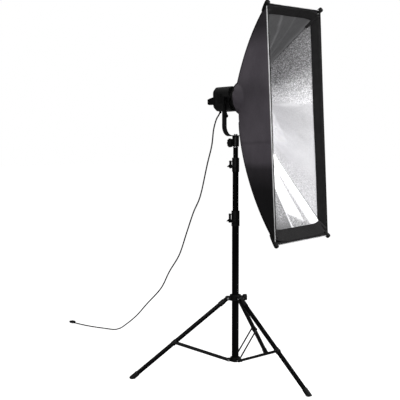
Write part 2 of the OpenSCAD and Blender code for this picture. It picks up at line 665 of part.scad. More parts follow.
lower_tube();
column_end_plug();
spider_with_lugs();  // lower_spider
spider_pins();
lower_collar();
lower_lock_lever();
middle_tube();
middle_glide();
upper_collar();
upper_lock_lever();
upper_tube();
upper_glide();
spigot();
leg_hub();
hub_pins();
hub_lock_knob();
leg_tube(0);  // leg_tube_1
leg_tube(1);  // leg_tube_2
leg_tube(2);  // leg_tube_3
leg_fittings(0);  // leg_fittings_1
leg_fittings(1);  // leg_fittings_2
leg_fittings(2);  // leg_fittings_3
foot_cap(0);  // foot_cap_1
foot_cap(1);  // foot_cap_2
foot_cap(2);  // foot_cap_3
brace(0);  // brace_1
brace(1);  // brace_2
brace(2);  // brace_3
receiver_socket();
receiver_knob();
yoke_bracket();
yoke_bolt();
lamp_housing();
rear_cover();
front_collar();
led_module();
heat_sink();
fan_frame();
fan_rotor();
pivot_bolt();
tilt_lever();
release_latch();
control_panel();
brightness_dial();
mode_button();
power_rocker();
rear_handle();
strain_relief();
mains_cord();
mains_plug();
ring_adapter();
speedring();
rods();
top_panel();
bottom_panel();
near_panel();
far_panel();
silver_lining();
lip_bands();
corner_pockets();
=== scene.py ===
import json
import math

import bpy
import numpy as np
from mathutils import Matrix, Vector, noise


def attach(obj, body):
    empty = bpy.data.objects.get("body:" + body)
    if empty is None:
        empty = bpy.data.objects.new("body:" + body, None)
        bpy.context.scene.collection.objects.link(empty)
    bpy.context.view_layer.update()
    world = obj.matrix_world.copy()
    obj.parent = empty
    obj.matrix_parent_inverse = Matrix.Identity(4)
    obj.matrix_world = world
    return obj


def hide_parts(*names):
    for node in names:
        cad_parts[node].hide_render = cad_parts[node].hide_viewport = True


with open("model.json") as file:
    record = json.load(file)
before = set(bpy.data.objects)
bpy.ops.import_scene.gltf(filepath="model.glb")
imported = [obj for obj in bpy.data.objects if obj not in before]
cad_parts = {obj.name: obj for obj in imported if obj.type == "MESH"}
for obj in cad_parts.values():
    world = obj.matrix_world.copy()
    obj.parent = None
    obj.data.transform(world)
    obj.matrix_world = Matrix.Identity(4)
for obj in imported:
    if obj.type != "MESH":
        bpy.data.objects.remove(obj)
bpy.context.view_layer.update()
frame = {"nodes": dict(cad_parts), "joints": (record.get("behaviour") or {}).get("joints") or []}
JOINTS = {j["name"]: j for j in frame["joints"]}

# ---------------------------------------------------------------- where things are (metres)
TILT_AXIS = Vector(JOINTS["head_tilt"]["pos_m"])
FORWARD = Vector(JOINTS["softbox_turn"]["axis"]).normalized()
COLUMN = Vector((TILT_AXIS.x, TILT_AXIS.y, 0))
TILT_UP = math.asin(FORWARD.z)
BOX_ROLL = math.radians(1.56)
HEAD = Matrix.Translation(TILT_AXIS) @ Matrix.Rotation(-TILT_UP, 4, "X")
BOX = HEAD @ Matrix.Rotation(-BOX_ROLL, 4, "Y")

# The softbox's own sizes, as its CAD walls have them.
BOX_W, BOX_UP, BOX_DOWN, BOX_FRONT = 0.450, 0.408, 0.692, 0.365
CLOTH_BACK, RING_R, CLEAR_R = 0.036, 0.072, 0.080
CLOTH_T, LAYER_GAP, LIP_LONG, LIP_SHORT = 0.003, 0.0013, 0.032, 0.040
LINING_START, LINING_BOW = 0.04, 0.3
DEPTH = BOX_FRONT - CLOTH_BACK
OUTER_THICK, LINING_THICK, LIP_THICK = 0.0012, 0.0008, 0.0014
BINDING_R, PIPING_R, HEM_R, REAR_HEM_R = 0.0022, 0.0030, 0.0028, 0.0042
WALLS = {"top": (0, 1), "far": (1, 2), "bottom": (2, 3), "near": (3, 0)}

CORD_ROUTE = [
    (-16, 88, 1320), (-11, 99, 1309), (-5, 113, 1298), (3, 130, 1276), (11, 149, 1234), (19, 167, 1155),
    (36, 210, 1057), (61, 275, 894), (85, 342, 801), (110, 411, 683), (135, 482, 561), (173, 586, 456),
    (205, 677, 349), (262, 835, 236), (310, 968, 140), (372, 1130, 50), (402, 1205, 20), (414, 1252, 9),
    (416, 1290, 7), (412, 1335, 7), (406, 1390, 7), (404, 1450, 7), (408, 1520, 7), (420, 1600, 7),
]
CORD_D = 0.0072


# ---------------------------------------------------------------- camera, light and floor
def make_camera():
    data = bpy.data.cameras.new("camera")
    data.lens, data.sensor_width = 85.86, 36
    cam = bpy.data.objects.new("camera", data)
    bpy.context.scene.collection.objects.link(cam)
    cam.location = COLUMN + Vector((-3.8195, -2.8500, 1.1873))
    cam.rotation_euler = Vector((0.7771, 0.6263, -0.0632)).to_track_quat("-Z", "Y").to_euler()
    data.clip_end = 60
    bpy.context.scene.camera = cam


def area_light(name, place, target, size, power, colour=(1, 1, 1)):
    data = bpy.data.lights.new(name, "AREA")
    data.shape, data.size, data.size_y = "RECTANGLE", size[0], size[1]
    data.energy, data.color = power, colour
    light = bpy.data.objects.new(name, data)
    bpy.context.scene.collection.objects.link(light)
    light.location = place
    light.rotation_euler = (Vector(target) - Vector(place)).to_track_quat("-Z", "Y").to_euler()


def light_the_room(tree):
    """A white studio: bright above, dim low down, and plain white where the background is seen."""
    nodes, links = tree.nodes, tree.links
    lit = nodes["Background"]
    split = nodes.new("ShaderNodeSeparateXYZ")
    links.new(nodes.new("ShaderNodeTexCoord").outputs["Generated"], split.inputs["Vector"])
    height = ramp(nodes, [(0.0, (0.03,) * 3), (0.48, (0.07,) * 3),
                          (0.62, (0.45,) * 3), (1.0, (0.80,) * 3)])
    lift = add(nodes, "ShaderNodeMapRange")
    lift.inputs["From Min"].default_value = -1
    links.new(split.outputs["Z"], lift.inputs["Value"])
    links.new(lift.outputs["Result"], height.inputs["Fac"])
    links.new(height.outputs["Color"], lit.inputs["Color"])
    lit.inputs["Strength"].default_value = 0.5
    seen = nodes.new("ShaderNodeBackground")
    seen.inputs["Color"].default_value = (1, 1, 1, 1)
    surface = nodes["World Output"].inputs["Surface"]
    links.new(seen_or_lit(nodes, links, lit.outputs[0], seen.outputs[0]), surface)


def seen_or_lit(nodes, links, lit, seen):
    """One shader for light that falls on the object and another for what is seen directly."""
    choose = nodes.new("ShaderNodeMixShader")
    links.new(nodes.new("ShaderNodeLightPath").outputs["Is Camera Ray"], choose.inputs["Fac"])
    links.new(lit, choose.inputs[1])
    links.new(seen, choose.inputs[2])
    return choose.outputs["Shader"]


def make_floor():
    """A pale floor that stays nearly white and takes a faint contact shadow."""
    mesh = bpy.data.meshes.new("floor")
    half = 30
    corners = [(-half, -half, 0), (half, -half, 0), (half, half, 0), (-half, half, 0)]
    mesh.from_pydata(corners, [], [(0, 1, 2, 3)])
    floor = bpy.data.objects.new("floor", mesh)
    bpy.context.scene.collection.objects.link(floor)
    nodes, links, shader = new_material("pale_floor")
    shader.inputs["Base Color"].default_value = (0.20, 0.20, 0.20, 1)
    shader.inputs["Roughness"].default_value = 0.9
    shader.inputs["Specular IOR Level"].default_value = 0.1
    glow = nodes.new("ShaderNodeEmission")
    glow.inputs["Color"].default_value = (0.86, 0.86, 0.86, 1)
    bounce = nodes.new("ShaderNodeBsdfDiffuse")
    bounce.inputs["Color"].default_value = (0.5, 0.5, 0.5, 1)
    both = nodes.new("ShaderNodeAddShader")
    links.new(glow.outputs["Emission"], both.inputs[0])
    links.new(bounce.outputs["BSDF"], both.inputs[1])
    surface = nodes["Material Output"].inputs["Surface"]
    links.new(seen_or_lit(nodes, links, shader.outputs["BSDF"], both.outputs["Shader"]), surface)
    mesh.materials.append(bpy.data.materials["pale_floor"])


def make_stage():
    scene = bpy.context.scene
    scene.view_settings.view_transform = "Standard"
    scene.world = bpy.data.worlds.new("studio")
    scene.world.use_nodes = True
    light_the_room(scene.world.node_tree)
    make_floor()
    area_light("front", (0.7, -3.7, 2.4), (0.0, -0.3, 1.2), (1.8, 1.8), 200)
    area_light("key", (-3.4, -1.2, 2.6), (0, 0, 1.2), (1.6, 2.2), 60)


# ---------------------------------------------------------------- material helpers
def new_material(name):
    mat = bpy.data.materials.new(name)
    mat.use_nodes = True
    nodes, links = mat.node_tree.nodes, mat.node_tree.links
    return nodes, links, nodes["Principled BSDF"]


def add(nodes, kind, **values):
    node = nodes.new(kind)
    for key, value in values.items():
        if key in node.inputs:
            node.inputs[key].default_value = value
        else:
            setattr(node, key, value)
    return node


def ramp(nodes, stops):
    node = nodes.new("ShaderNodeValToRGB")
    while len(node.color_ramp.elements) < len(stops):
        node.color_ramp.elements.new(0.5)
    for element, (at, colour) in zip(node.color_ramp.elements, stops):
        element.position = at
        element.color = (*colour, 1)
    return node


def object_place(nodes):
    return nodes.new("ShaderNodeTexCoord").outputs["Object"]


def noise_at(nodes, links, place, scale, detail=3.0, rough=0.5):
    node = add(nodes, "ShaderNodeTexNoise", Scale=scale, Detail=detail, Roughness=rough)
    links.new(place, node.inputs["Vector"])
    return node


def bump_into(nodes, links, shader, height, strength, distance):
    node = add(nodes, "ShaderNodeBump", Strength=strength, Distance=distance)
    links.new(height, node.inputs["Height"])
    links.new(node.outputs["Normal"], shader.inputs["Normal"])
    return node


def plastic(name, dark, light, rough, grain=900, bump=0.12, blotch=14, spec=0.5):
    """Moulded or painted surface: fine grain, soft blotches of tone and gloss."""
    nodes, links, shader = new_material(name)
    place = object_place(nodes)
    broad = noise_at(nodes, links, place, blotch, 4)
    colours = ramp(nodes, [(0.35, dark), (0.7, light)])
    links.new(broad.outputs["Fac"], colours.inputs["Fac"])
    links.new(colours.outputs["Color"], shader.inputs["Base Color"])
    gloss = ramp(nodes, [(0.3, (rough - 0.07,) * 3), (0.75, (rough + 0.1,) * 3)])
    fine = noise_at(nodes, links, place, blotch * 5, 5)
    links.new(fine.outputs["Fac"], gloss.inputs["Fac"])
    links.new(gloss.outputs["Color"], shader.inputs["Roughness"])
    shader.inputs["Specular IOR Level"].default_value = spec
    grit = noise_at(nodes, links, place, grain, 2)
    bump_into(nodes, links, shader, grit.outputs["Fac"], bump, 0.0004)
    return bpy.data.materials[name]


def anodised(name, colour, pale):
    """Black anodised tube: faint drawing lines along it and a satin sheen."""
    nodes, links, shader = new_material(name)
    place = object_place(nodes)
    mapping = add(nodes, "ShaderNodeMapping", Scale=(420, 420, 6))
    links.new(place, mapping.inputs["Vector"])
    lines = noise_at(nodes, links, mapping.outputs["Vector"], 1.0, 3)
    tone = ramp(nodes, [(0.35, colour), (0.8, pale)])
    links.new(lines.outputs["Fac"], tone.inputs["Fac"])
    links.new(tone.outputs["Color"], shader.inputs["Base Color"])
    shader.inputs["Metallic"].default_value = 0.55
    shader.inputs["Specular IOR Level"].default_value = 0.12
    gloss = ramp(nodes, [(0.3, (0.26,) * 3), (0.8, (0.42,) * 3)])
    broad = noise_at(nodes, links, place, 22, 4)
    links.new(broad.outputs["Fac"], gloss.inputs["Fac"])
    links.new(gloss.outputs["Color"], shader.inputs["Roughness"])
    bump_into(nodes, links, shader, lines.outputs["Fac"], 0.06, 0.0003)
    return bpy.data.materials[name]


def metal(name, dark, light, rough, scale=60, bump=0.08):
    nodes, links, shader = new_material(name)
    place = object_place(nodes)
    cloud = noise_at(nodes, links, place, scale, 5)
    tone = ramp(nodes, [(0.3, dark), (0.75, light)])
    links.new(cloud.outputs["Fac"], tone.inputs["Fac"])
    links.new(tone.outputs["Color"], shader.inputs["Base Color"])
    shader.inputs["Metallic"].default_value = 1.0
    gloss = ramp(nodes, [(0.3, (rough - 0.06,) * 3), (0.8, (rough + 0.12,) * 3)])
    fine = noise_at(nodes, links, place, scale * 4, 4)
    links.new(fine.outputs["Fac"], gloss.inputs["Fac"])
    links.new(gloss.outputs["Color"], shader.inputs["Roughness"])
    bump_into(nodes, links, shader, fine.outputs["Fac"], bump, 0.0003)
    return bpy.data.materials[name]


def weave_height(nodes, links, place, pitch):
    """Crossing threads: two sets of ribs a pitch apart, read from the sheet's own UV in metres."""
    heights = []
    for axis in ("X", "Y"):
        wave = add(nodes, "ShaderNodeTexWave", wave_type="BANDS", bands_direction=axis,
                   Scale=math.pi / pitch / 10)
        wave.inputs["Distortion"].default_value = 0.4
        links.new(place, wave.inputs["Vector"])
        heights.append(wave.outputs["Fac"])
    both = add(nodes, "ShaderNodeMath", operation="MULTIPLY")
    links.new(heights[0], both.inputs[0])
    links.new(heights[1], both.inputs[1])
    return both.outputs["Value"]


def math_node(nodes, links, operation, *values):
    node = add(nodes, "ShaderNodeMath", operation=operation)
    for socket, value in zip(node.inputs, values):
        if isinstance(value, (int, float)):
            socket.default_value = value
        else:
            links.new(value, socket)
    return node.outputs["Value"]


def soft_step(nodes, links, value, middle, soft):
    """0 well below middle, 1 well above it; a negative soft turns it round."""
    node = nodes.new("ShaderNodeMapRange")
    node.inputs["From Min"].default_value = middle - soft
    node.inputs["From Max"].default_value = middle + soft
    links.new(value, node.inputs["Value"])
    return node.outputs["Result"]


def wall_share(nodes, links):
    """A wall's own coordinates: share across it, then share of the depth from the ring to the front."""
    split = nodes.new("ShaderNodeSeparateXYZ")
    uv = nodes.new("ShaderNodeUVMap")
    uv.uv_map = "Share"
    links.new(uv.outputs["UV"], split.inputs["Vector"])
    return split.outputs["X"], split.outputs["Y"]


def patched(nodes, links, start, patches, across, depth, which):
    """Lays patches over a value. A patch is its half-planes (a, b, c, soft), where a*across + b*depth > c."""
    value = start
    for planes, levels in patches:
        mask = 1.0
        for a, b, c, soft in planes:
            sideways = math_node(nodes, links, "MULTIPLY", across, a)
            slanted = math_node(nodes, links, "MULTIPLY_ADD", depth, b, sideways)
            mask = math_node(nodes, links, "MULTIPLY", soft_step(nodes, links, slanted, c, soft), mask)
        change = math_node(nodes, links, "SUBTRACT", levels[which], value)
        value = math_node(nodes, links, "MULTIPLY_ADD", change, mask, value)
    return value


def coated_fabric():
    """Outer shell: dark coated polyester with a fine weave, and painted light and shade by height: dark low
    down, a lighter warm grey over its middle, dimmer at the top, with thin painted fold lines.
    """
    nodes, links, shader = new_material("shell_fabric")
    uv = nodes.new("ShaderNodeUVMap")
    uv.uv_map = "UVMap"
    place = object_place(nodes)
    cloud = noise_at(nodes, links, place, 5.0, 5)
    tone = ramp(nodes, [(0.3, (0.123, 0.108, 0.129)), (0.75, (0.189, 0.168, 0.195))])
    links.new(cloud.outputs["Fac"], tone.inputs["Fac"])
    height = nodes.new("ShaderNodeSeparateXYZ")
    links.new(place, height.inputs["Vector"])
    band = nodes.new("ShaderNodeMapRange")
    band.inputs["From Min"].default_value = 0.7
    band.inputs["From Max"].default_value = 1.8
    wobble = math_node(nodes, links, "MULTIPLY_ADD", cloud.outputs["Fac"], 0.03, height.outputs["Z"])
    links.new(wobble, band.inputs["Value"])
    # Painted light and shade by height on the cloth, not from relief or lamps: dark low down, light over the
    # middle, dim at the top, with thin dark and light painted fold lines.
    painted_light_by_height = ramp(nodes, [(0.0, (0.03,) * 3), (0.24, (0.06,) * 3), (0.33, (0.28,) * 3), (0.36, (0.80,) * 3),
                         (0.436, (0.92,) * 3), (0.445, (0.70,) * 3), (0.456, (0.95,) * 3), (0.60, (0.90,) * 3),
                         (0.66, (0.72,) * 3), (0.73, (1.0,) * 3), (0.84, (0.95,) * 3), (0.93, (0.28,) * 3)])
    links.new(band.outputs["Result"], painted_light_by_height.inputs["Fac"])
    # Multiplies the cloth's tone by the painted light and shade.
    shade = add(nodes, "ShaderNodeMixRGB", blend_type="MULTIPLY")
    shade.inputs["Fac"].default_value = 1.0
    links.new(tone.outputs["Color"], shade.inputs["Color1"])
    links.new(painted_light_by_height.outputs["Color"], shade.inputs["Color2"])
    threads = weave_height(nodes, links, uv.outputs["UV"], 0.0016)
    mix = add(nodes, "ShaderNodeMixRGB", blend_type="MULTIPLY")
    mix.inputs["Fac"].default_value = 0.3
    links.new(shade.outputs["Color"], mix.inputs["Color1"])
    links.new(threads, mix.inputs["Color2"])
    links.new(mix.outputs["Color"], shader.inputs["Base Color"])
    gloss = ramp(nodes, [(0.3, (0.50,) * 3), (0.8, (0.66,) * 3)])
    soft = noise_at(nodes, links, place, 30, 4)
    links.new(soft.outputs["Fac"], gloss.inputs["Fac"])
    links.new(gloss.outputs["Color"], shader.inputs["Roughness"])
    shader.inputs["Specular IOR Level"].default_value = 0.22
    crumple = noise_at(nodes, links, place, 16, 6, 0.6)
    relief = math_node(nodes, links, "MULTIPLY_ADD", threads, 0.12, crumple.outputs["Fac"])
    bump_into(nodes, links, shader, relief, 0.35, 0.004)
    return bpy.data.materials["shell_fabric"]


# Painted light and shade of the lining, standing in for how its loose folds catch the light: how light each
# part is painted and how strongly painted glints show on its pebbles. A patch is half-planes of (across,
# depth), then (lightness, glint strength). Each ends at a fold of the loose cloth.
PAINTED_FOLD_LIGHT = {
    "top": [
        ([(1, 0.50, 0.78, 0.02), (-1, -0.50, -0.83, 0.02)], (0.150, 0.0)),
        ([(1, 0.30, 0.88, 0.015), (-1, -0.30, -0.91, 0.015)], (0.120, 0.0)),
        ([(1, 0, 0.95, 0.02)], (0.120, 0.1)),
    ],
    "far": [
        ([(1, 0, 0.13, 0.10)], (0.30, 0.95)),
        ([(1, 0, 0.30, 0.09)], (0.90, 0.50)),
        ([(1, 0, 0.42, 0.006)], (0.74, 0.10)),
        ([(1, -0.25, 0.45, 0.12)], (0.86, 0.04)),
        ([(1, -1.09, 0.173, 0.02), (-1, -0.565, -1.034, 0.02)], (1.0, 0.0)),
        ([(1, 0.2, 0.98, 0.05)], (0.80, 0.30)),
        ([(0, 1, 0.90, 0.015), (1, 0, 0.60, 0.06)], (1.0, 0.05)),
        ([(1, 0, 1.000, 0.004)], (0.06, 0.0)),
    ],
    "bottom": [
        ([(1, 0, 0.20, 0.03), (-1, 0, -0.29, 0.012), (0, 1, 0.40, 0.12)], (0.50, 0.75)),
        ([(1, 0, 0.60, 0.012)], (0.34, 0.85)),
        ([(-1, 0, -0.57, 0.02), (0.28, 1, 0.948, 0.012)], (0.42, 0.95)),
        ([(1, 0, 0.60, 0.012), (0, 1, 0.84, 0.05)], (0.17, 0.35)),
        ([(-1, 0, -0.006, 0.004)], (0.06, 0.0)),
    ],
    "near": [([(1, 0.3, 0.60, 0.03), (-1, -0.2, -0.95, 0.03)], (0.50, 0.45))],
}
# Painted lightness of each wall's lining before its patches (dark on the top wall, light on the bottom, as
# light falls there), and the strength of its painted glints.
START = {"top": (0.090, 0.0), "far": (0.22, 1.0), "bottom": (0.95, 0.03), "near": (0.75, 0.25)}


def silver_fabric(wall):
    """Silver lining: metallised film over a pebbled cloth, with painted glints and dull flecks on the pebbles
    and painted light and shade for its broad folds.
    """
    name = f"silver_{wall}"
    nodes, links, shader = new_material(name)
    place = object_place(nodes)
    across, depth = wall_share(nodes, links)
    drift = noise_at(nodes, links, place, 14, 3)
    across = math_node(nodes, links, "MULTIPLY_ADD", drift.outputs["Fac"], 0.03, across)
    across = math_node(nodes, links, "SUBTRACT", across, 0.015)
    # Painted light and shade of the folds, and the strength of the painted glints, patch by patch.
    light = patched(nodes, links, START[wall][0], PAINTED_FOLD_LIGHT[wall], across, depth, 0)
    painted_glint_and_relief = patched(nodes, links, START[wall][1], PAINTED_FOLD_LIGHT[wall], across, depth, 1)
    cells = add(nodes, "ShaderNodeTexVoronoi", Scale=280.0, Randomness=1.0)
    links.new(place, cells.inputs["Vector"])
    pick = nodes.new("ShaderNodeSeparateColor")
    links.new(cells.outputs["Color"], pick.inputs["Color"])
    # Painted glints: each pebble's colour is made lighter or darker, past white at the top, standing in for its
    # reflection.
    painted_facet_glint = ramp(nodes, [(0.10, (0.30,) * 3), (0.35, (0.62,) * 3), (0.70, (1.0,) * 3), (1.0, (1.6,) * 3)])
    links.new(pick.outputs["Red"], painted_facet_glint.inputs["Fac"])
    contrast = math_node(nodes, links, "MULTIPLY_ADD",
                         math_node(nodes, links, "SUBTRACT", painted_facet_glint.outputs["Color"], 1.0), painted_glint_and_relief, 1.0)
    tone = math_node(nodes, links, "MULTIPLY", light, contrast)
    sheen = math_node(nodes, links, "MULTIPLY_ADD", drift.outputs["Fac"], 0.16, 0.92)
    colour = nodes.new("ShaderNodeCombineColor")
    level = math_node(nodes, links, "MULTIPLY", tone, sheen)
    links.new(level, colour.inputs["Red"])
    links.new(math_node(nodes, links, "MULTIPLY", level, 0.995), colour.inputs["Green"])
    links.new(math_node(nodes, links, "MULTIPLY", level, 1.02), colour.inputs["Blue"])
    links.new(colour.outputs["Color"], shader.inputs["Base Color"])
    shader.inputs["Metallic"].default_value = 0.35
    gloss = ramp(nodes, [(0.0, (0.34,) * 3), (1.0, (0.52,) * 3)])
    links.new(pick.outputs["Green"], gloss.inputs["Fac"])
    links.new(gloss.outputs["Color"], shader.inputs["Roughness"])
    # The same strength also sets the real relief of the pebbles.
    relief = math_node(nodes, links, "MULTIPLY", cells.outputs["Distance"], painted_glint_and_relief)
    crumple = noise_at(nodes, links, place, 22, 4, 0.55)
    bump_into(nodes, links, shader, math_node(nodes, links, "ADD", relief, crumple.outputs["Fac"]), 0.4, 0.003)
    return bpy.data.materials[name]


def webbing(name, dark, light, pitch=0.0016):
    nodes, links, shader = new_material(name)
    uv = nodes.new("ShaderNodeUVMap").outputs["UV"]
    place = object_place(nodes)
    threads = weave_height(nodes, links, uv, pitch)
    cloud = noise_at(nodes, links, place, 35, 4)
    tone = ramp(nodes, [(0.3, dark), (0.75, light)])
    links.new(cloud.outputs["Fac"], tone.inputs["Fac"])
    links.new(tone.outputs["Color"], shader.inputs["Base Color"])
    gloss = ramp(nodes, [(0.2, (0.62,) * 3), (0.8, (0.8,) * 3)])
    links.new(threads, gloss.inputs["Fac"])
    links.new(gloss.outputs["Color"], shader.inputs["Roughness"])
    shader.inputs["Specular IOR Level"].default_value = 0.2
    bump_into(nodes, links, shader, threads, 0.5, 0.0006)
    return bpy.data.materials[name]


def make_materials():
    plastic("moulded", (0.0018, 0.0018, 0.0020), (0.0044, 0.0044, 0.0046), 0.42, spec=0.18)
    plastic("rubber", (0.0030, 0.0030, 0.0030), (0.0070, 0.0070, 0.0070), 0.66, 500, 0.3, 30, 0.2)
    plastic("powder_coat", (0.0030, 0.0030, 0.0032), (0.0070, 0.0070, 0.0072), 0.38, 1300, 0.25, 18, 0.35)
    plastic("lamp_paint", (0.0034, 0.0034, 0.0036), (0.0076, 0.0074, 0.0076), 0.36, 1500, 0.3, 16, 0.40)
    plastic("bush_plastic", (0.09, 0.09, 0.095), (0.14, 0.14, 0.145), 0.5)
    plastic("board_white", (0.6, 0.6, 0.58), (0.75, 0.75, 0.72), 0.5)
    plastic("phosphor", (0.62, 0.50, 0.08), (0.80, 0.68, 0.16), 0.35, 300, 0.1, 120)
    plastic("display", (0.003, 0.004, 0.006), (0.006, 0.008, 0.011), 0.12, 200, 0.01, 8)
    anodised("anodised", (0.0018, 0.0018, 0.0020), (0.0050, 0.0050, 0.0054))
    metal("zinc", (0.42, 0.42, 0.43), (0.62, 0.62, 0.63), 0.34)
    metal("cast", (0.30, 0.30, 0.31), (0.45, 0.45, 0.46), 0.48, 120, 0.2)
    metal("sink", (0.22, 0.22, 0.23), (0.36, 0.36, 0.37), 0.42)
    coated_fabric()
    for wall in WALLS:
        silver_fabric(wall)
    webbing("lip", (0.0026, 0.0023, 0.0026), (0.0064, 0.0058, 0.0062))
    webbing("pocket", (0.0026, 0.0026, 0.0026), (0.0060, 0.0060, 0.0060), 0.0022)
    webbing("piping", (0.42, 0.42, 0.425), (0.60, 0.60, 0.61), 0.0012)


NODE_LOOKS = {
    "anodised": ["lower_tube", "middle_tube", "upper_tube", "leg_tube_1", "leg_tube_2", "leg_tube_3"],
    "moulded": ["column_end_plug", "lower_spider", "lower_collar", "upper_collar", "leg_hub", "leg_fittings_1",
                "leg_fittings_2", "leg_fittings_3", "fan_frame", "fan_rotor", "brightness_dial", "power_rocker",
                "release_latch", "lower_lock_lever", "upper_lock_lever", "hub_lock_knob", "receiver_knob",
                "tilt_lever", "rear_cover", "rear_handle"],
    "rubber": ["foot_cap_1", "foot_cap_2", "foot_cap_3", "mode_button", "strain_relief", "mains_plug",
               "mains_cord"],
    "powder_coat": ["brace_1", "brace_2", "brace_3", "yoke_bracket", "receiver_socket", "speedring"],
    "lamp_paint": ["lamp_housing", "front_collar"],
    "bush_plastic": ["middle_glide", "upper_glide"],
    "zinc": ["spigot", "spider_pins", "hub_pins", "yoke_bolt", "pivot_bolt", "rods"],
    "cast": ["ring_adapter"],
    "sink": ["heat_sink"],
    "phosphor": ["led_module"],
    "display": ["control_panel"],
    "shell_fabric": ["top_panel", "bottom_panel", "near_panel", "far_panel"],
    "silver_near": ["silver_lining"],
    "lip": ["lip_bands"],
    "pocket": ["corner_pockets"],
}


EDGE_BREAK = 0.0007
FACETED = {"mains_cord", "rods", "rear_cover"}


def dress_nodes():
    for look, names in NODE_LOOKS.items():
        for name in names:
            node = frame["nodes"][name]
            if not node.material_slots:
                node.data.materials.append(bpy.data.materials[look])
            for s in node.material_slots:
                s.material = bpy.data.materials[look]
            if look not in ("shell_fabric", "silver_near", "lip", "pocket") and name not in FACETED:
                soften(node)


def soften(node):
    """A small rounded break on every sharp edge, which catches the light."""
    bevel = node.modifiers.new("edge_break", "BEVEL")
    bevel.width, bevel.segments = EDGE_BREAK, 2
    bevel.limit_method, bevel.angle_limit = "ANGLE", math.radians(40)
    bevel.use_clamp_overlap = True


# ---------------------------------------------------------------- mesh helpers
def piece(name, verts, faces, material, body, smooth=True, replaces=(), uv=None):
    mesh = bpy.data.meshes.new(name)
    mesh.from_pydata([tuple(v) for v in verts], [], faces)
    mesh.validate()
    obj = bpy.data.objects.new(name, mesh)
    bpy.context.scene.collection.objects.link(obj)
    mesh.materials.append(bpy.data.materials[material])
    if uv is not None:
        layer = mesh.uv_layers.new(name="UVMap")
        for loop in mesh.loops:
            layer.data[loop.index].uv = uv[loop.vertex_index]
    if smooth:
        mesh.polygons.foreach_set("use_smooth", [True] * len(mesh.polygons))
    mesh.update()
    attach(obj, body)
    if replaces:
        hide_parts(*replaces)
    return obj


def catmull(points, per):
    """A smooth line through points, with per steps between each two."""
    pts = [Vector(p) for p in points]
    out = []
    for k in range(len(pts) - 1):
        a, b, c, d = pts[max(k - 1, 0)], pts[k], pts[k + 1], pts[min(k + 2, len(pts) - 1)]
        for j in range(per):
            t = j / per
            out.append((2 * b + (c - a) * t + (2 * a - 5 * b + 4 * c - d) * t ** 2
                        + (3 * b - a - 3 * c + d) * t ** 3) / 2)
    return out + [pts[-1]]


def tube(points, radius, sides):
    """Vertices and faces of a closed round tube along points. radius is a number or one for each point."""
    n = len(points)
    radii = radius if hasattr(radius, "__len__") else [radius] * n
    verts, faces, side = [], [], None
    for k in range(n):
        d = (points[min(k + 1, n - 1)] - points[max(k - 1, 0)]).normalized()
        if side is None:
            side = d.orthogonal().normalized()
        side = (side - d * side.dot(d)).normalized()
        up = d.cross(side)
        for j in range(sides):
            a = 2 * math.pi * j / sides
            verts.append(points[k] + radii[k] * (math.cos(a) * side + math.sin(a) * up))
    for k in range(n - 1):
        for j in range(sides):
            m = (j + 1) % sides
            faces.append((k * sides + j, k * sides + m, (k + 1) * sides + m, (k + 1) * sides + j))
    faces.append(tuple(range(sides - 1, -1, -1)))
    faces.append(tuple((n - 1) * sides + j for j in range(sides)))
    return verts, faces


# ---------------------------------------------------------------- the mains lead
def make_cord():
    points = catmull([COLUMN + Vector(p) / 1000 for p in CORD_ROUTE], 8)
    verts, faces = tube(points, CORD_D / 2, 12)
    lead = piece("mains_lead", verts, faces, "rubber", "yoke", replaces=["mains_cord"])


# ---------------------------------------------------------------- the softbox's walls
TOP_REACH = math.hypot(BOX_W / 2, BOX_UP)
BOTTOM_REACH = math.hypot(BOX_W / 2, BOX_DOWN)


def seam(q, corner, bow):
    """Corner seam in the cross-section at share q of the depth: top near, top far, bottom far, bottom near."""
    side = -1 if corner in (0, 3) else 1
    if corner < 2:
        r = RING_R + (TOP_REACH - RING_R) * q + 0.112 * bow * q * (1 - q)
        return np.array((side * BOX_W / 2, BOX_UP)) * r / TOP_REACH
    r = RING_R + (BOTTOM_REACH - RING_R) * q + 0.280 * bow * math.sqrt(q) * (1 - q)
    return np.array((side * BOX_W / 2, -BOX_DOWN)) * r / BOTTOM_REACH


def skin(q, c1, c2, s, d, bow=1.0):
    """Point of a wall between two corners, d inside its outer face, in the box's frame."""
    p = seam(q, c1, bow) * (1 - s) + seam(q, c2, bow) * s
    flat_r = float(np.hypot(*p))
    r = max(flat_r, CLEAR_R - 0.012 * (1 - bow) + 0.060 * q) - d
    return Vector((p[0] / flat_r * r, -(CLOTH_BACK + DEPTH * q + d * (1 - q)), p[1] / flat_r * r))


def wall_grid(c1, c2, rows, cols, depth, q0, q1, power=1.6, bow=1.0):
    grid = []
    for k in range(rows + 1):
        q = q0 + (q1 - q0) * (k / rows) ** power
        shares = [j / cols for j in range(cols + 1)]
        grid.append([(q, s, skin(q, c1, c2, s, depth(q, s), bow)) for s in shares])
    return grid


def sheet_from(name, grid, thickness, material, body, replaces, flip=False):
    """A cloth sheet with real thickness: outer face on the grid, inner face along the vertex normals."""
    rows, cols = len(grid) - 1, len(grid[0]) - 1
    points = [BOX @ g[2] for line in grid for g in line]
    uv, along = [], 0
    for k, line in enumerate(grid):
        if k:
            along += (line[cols // 2][2] - grid[k - 1][cols // 2][2]).length
        across = [0]
        for a, b in zip(line, line[1:]):
            across.append(across[-1] + (b[2] - a[2]).length)
        uv += [(x - across[-1] / 2, along) for x in across]
    faces = []
    for k in range(rows):
        for j in range(cols):
            i = k * (cols + 1) + j
            face = (i, i + cols + 1, i + cols + 2, i + 1)
            faces.append(face[::-1] if flip else face)
    obj = piece(name, points, faces, material, body, replaces=replaces, uv=uv)
    share = obj.data.uv_layers.new(name="Share")
    shares = [(s, q) for line in grid for q, s, _ in line]
    for loop in obj.data.loops:
        share.data[loop.index].uv = shares[loop.vertex_index]
    solid = obj.modifiers.new("thickness", "SOLIDIFY")
    solid.thickness, solid.offset = thickness, -1
    return obj


